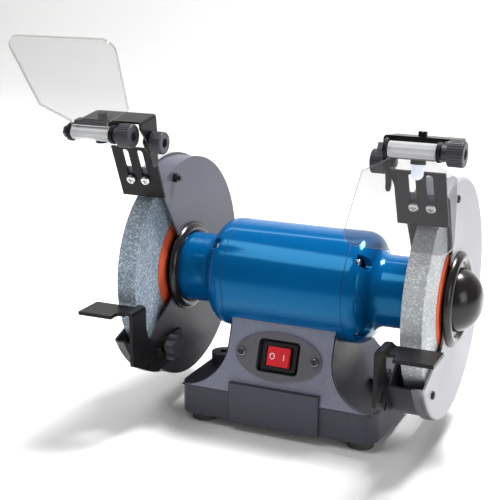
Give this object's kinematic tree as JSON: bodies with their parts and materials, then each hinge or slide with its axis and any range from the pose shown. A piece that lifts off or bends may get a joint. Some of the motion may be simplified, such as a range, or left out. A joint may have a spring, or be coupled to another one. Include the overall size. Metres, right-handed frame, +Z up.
{
  "type": "bench grinder",
  "caption": "Double-wheel bench grinder with adjustable tool rests, spark plates, lamps and clear eye shields on a flared base with a rocker switch.",
  "frame": {"origin": "bench surface, midway between the wheels and straight below the spindle axis", "axes": "+X along the spindle to the right-hand wheel, -Y towards the user, +Z up"},
  "size_m": [0.4055, 0.2924, 0.3904],
  "materials": {
    "base_paint": "textured dark grey enamel",
    "panel_paint": "speckled grey enamel",
    "foot_rubber": "matte",
    "zinc_screws": "zinc plated",
    "cover_zinc": "galvanised",
    "switch_plate_grey": "satin",
    "switch_screws": "bright",
    "cup_black": "matte",
    "housing_black": "satin",
    "rocker_red": "gloss",
    "capacitor_can": "satin",
    "terminal_white": "matte",
    "gland_black": "matte",
    "motor_blue": "gloss",
    "bell_blue": "gloss",
    "bolt_steel": "zinc plated",
    "lamination_steel": "laminated",
    "winding_copper": "varnished copper",
    "bearing_steel": "ground",
    "shaft_steel": "turned",
    "rotor_steel": "laminated with cast end rings",
    "abrasive_right": "coarse grit, matte",
    "abrasive_left": "medium grit, matte",
    "blotter_card": "matte card",
    "flange_steel": "plated",
    "nut_steel": "zinc plated",
    "guard_grey": "hammered satin",
    "cover_grey": "satin",
    "cap_dark": "satin",
    "black_screws": "black oxide",
    "silver_screws": "bright",
    "black_bolts": "black oxide",
    "sheet_black": "satin",
    "rest_black": "satin",
    "knob_grey": "matte",
    "lamp_black": "matte",
    "lens_clear": "clear",
    "switch_black": "matte",
    "shield_clear": "clear polycarbonate"
  },
  "bodies": {
    "frame_body": {"base_casting": "base_paint", "bearing_outer_races": "bearing_steel", "bottom_cover": "cover_zinc", "cable_gland": "gland_black", "end_bell_left": "bell_blue", "end_bell_right": "bell_blue", "foot_screws": "zinc_screws", "front_panel": "panel_paint", "guard_caps": "cap_dark", "guard_collars": "cap_dark", "guard_cover_left": "cover_grey", "guard_cover_right": "cover_grey", "guard_cover_screws": "black_screws", "guard_mount_screws": "zinc_screws", "motor_barrel": "motor_blue", "rest_fasteners": "black_bolts", "rubber_feet": "foot_rubber", "run_capacitor": "capacitor_can", "spark_screws": "silver_screws", "stator_core": "lamination_steel", "stator_windings": "winding_copper", "switch_cup": "cup_black", "switch_housing": "housing_black", "switch_plate": "switch_plate_grey", "switch_plate_screws": "switch_screws", "terminal_block": "terminal_white", "through_bolts": "bolt_steel", "wheel_guard_left": "guard_grey", "wheel_guard_right": "guard_grey"},
    "spindle": {"spindle_shaft": "shaft_steel", "rotor_core": "rotor_steel", "bearing_inner_races": "bearing_steel", "wheel_right": "abrasive_right", "wheel_left": "abrasive_left", "blotters": "blotter_card", "inner_flanges": "flange_steel", "outer_flanges": "flange_steel", "spindle_nuts": "nut_steel"},
    "rocker": {"switch_rocker": "rocker_red"},
    "spark_plate_body_right": {"spark_plate_right": "sheet_black"},
    "head_right": {"lamp_bracket_right": "sheet_black", "lamp_housing_right": "lamp_black", "lamp_lens_right": "lens_clear"},
    "lamp_switch_body_right": {"lamp_switch_right": "switch_black"},
    "bracket_knob_body_right": {"bracket_knob_right": "knob_grey"},
    "shield_knob_body_right": {"shield_knob_right": "knob_grey"},
    "shield_body_right": {"shield_right": "shield_clear"},
    "tool_rest_body_right": {"tool_rest_right": "rest_black"},
    "rest_knob_body_right": {"rest_knob_right": "knob_grey"},
    "spark_plate_body_left": {"spark_plate_left": "sheet_black"},
    "head_left": {"lamp_bracket_left": "sheet_black", "lamp_housing_left": "lamp_black", "lamp_lens_left": "lens_clear"},
    "lamp_switch_body_left": {"lamp_switch_left": "switch_black"},
    "bracket_knob_body_left": {"bracket_knob_left": "knob_grey"},
    "shield_knob_body_left": {"shield_knob_left": "knob_grey"},
    "shield_body_left": {"shield_left": "shield_clear"},
    "tool_rest_body_left": {"tool_rest_left": "rest_black"},
    "rest_knob_body_left": {"rest_knob_left": "knob_grey"}
  },
  "joints": [
    {"name": "spindle_spin", "type": "hinge", "parent": "frame_body", "child": "spindle", "pos_m": [0, 0, 0.145], "axis": [1, 0, 0], "continuous": true},
    {"name": "rocker_tip", "type": "hinge", "parent": "frame_body", "child": "rocker", "pos_m": [0, -0.05024, 0.07871], "axis": [0, 0.3219, 0.9468], "range_deg": [0, 18]},
    {"name": "spark_slide_right", "type": "slide", "parent": "frame_body", "child": "spark_plate_body_right", "axis": [0, 0.3907, -0.9205], "range_m": [0, 0.005]},
    {"name": "head_tilt_right", "type": "hinge", "parent": "spark_plate_body_right", "child": "head_right", "pos_m": [0.1155, -0.0945, 0.2895], "axis": [1, 0, 0], "range_deg": [-25, 15]},
    {"name": "bracket_knob_turn_right", "type": "hinge", "parent": "head_right", "child": "bracket_knob_body_right", "pos_m": [0.107, -0.0945, 0.2895], "axis": [1, 0, 0], "range_deg": [-360, 360]},
    {"name": "shield_swing_right", "type": "hinge", "parent": "head_right", "child": "shield_body_right", "pos_m": [0.143, -0.119, 0.30515], "axis": [1, 0, 0], "range_deg": [-120, 8]},
    {"name": "shield_knob_turn_right", "type": "hinge", "parent": "head_right", "child": "shield_knob_body_right", "pos_m": [0.1795, -0.119, 0.30515], "axis": [1, 0, 0], "range_deg": [-360, 360]},
    {"name": "lamp_switch_slide_right", "type": "slide", "parent": "head_right", "child": "lamp_switch_body_right", "axis": [1, 0, 0], "range_m": [0, 0.004]},
    {"name": "rest_slide_right", "type": "slide", "parent": "frame_body", "child": "tool_rest_body_right", "axis": [0, -1, 0], "range_m": [0, 0.014]},
    {"name": "rest_knob_turn_right", "type": "hinge", "parent": "frame_body", "child": "rest_knob_body_right", "pos_m": [0.11, -0.062, 0.076], "axis": [1, 0, 0], "range_deg": [-360, 360]},
    {"name": "spark_slide_left", "type": "slide", "parent": "frame_body", "child": "spark_plate_body_left", "axis": [0, 0.3907, -0.9205], "range_m": [0, 0.005]},
    {"name": "head_tilt_left", "type": "hinge", "parent": "spark_plate_body_left", "child": "head_left", "pos_m": [-0.1155, -0.0945, 0.2895], "axis": [1, 0, 0], "range_deg": [-25, 15]},
    {"name": "bracket_knob_turn_left", "type": "hinge", "parent": "head_left", "child": "bracket_knob_body_left", "pos_m": [-0.107, -0.0945, 0.2895], "axis": [1, 0, 0], "range_deg": [-360, 360]},
    {"name": "shield_swing_left", "type": "hinge", "parent": "head_left", "child": "shield_body_left", "pos_m": [-0.1615, -0.12206, 0.29875], "axis": [1, 0, 0], "range_deg": [-15, 114]},
    {"name": "shield_knob_turn_left", "type": "hinge", "parent": "head_left", "child": "shield_knob_body_left", "pos_m": [-0.125, -0.12206, 0.29875], "axis": [1, 0, 0], "range_deg": [-360, 360]},
    {"name": "lamp_switch_slide_left", "type": "slide", "parent": "head_left", "child": "lamp_switch_body_left", "axis": [1, 0, 0], "range_m": [0, 0.004]},
    {"name": "rest_slide_left", "type": "slide", "parent": "frame_body", "child": "tool_rest_body_left", "axis": [0, -1, 0], "range_m": [-0.001, 0.013]},
    {"name": "rest_knob_turn_left", "type": "hinge", "parent": "frame_body", "child": "rest_knob_body_left", "pos_m": [-0.11, -0.062, 0.076], "axis": [1, 0, 0], "range_deg": [-360, 360]}
  ]
}
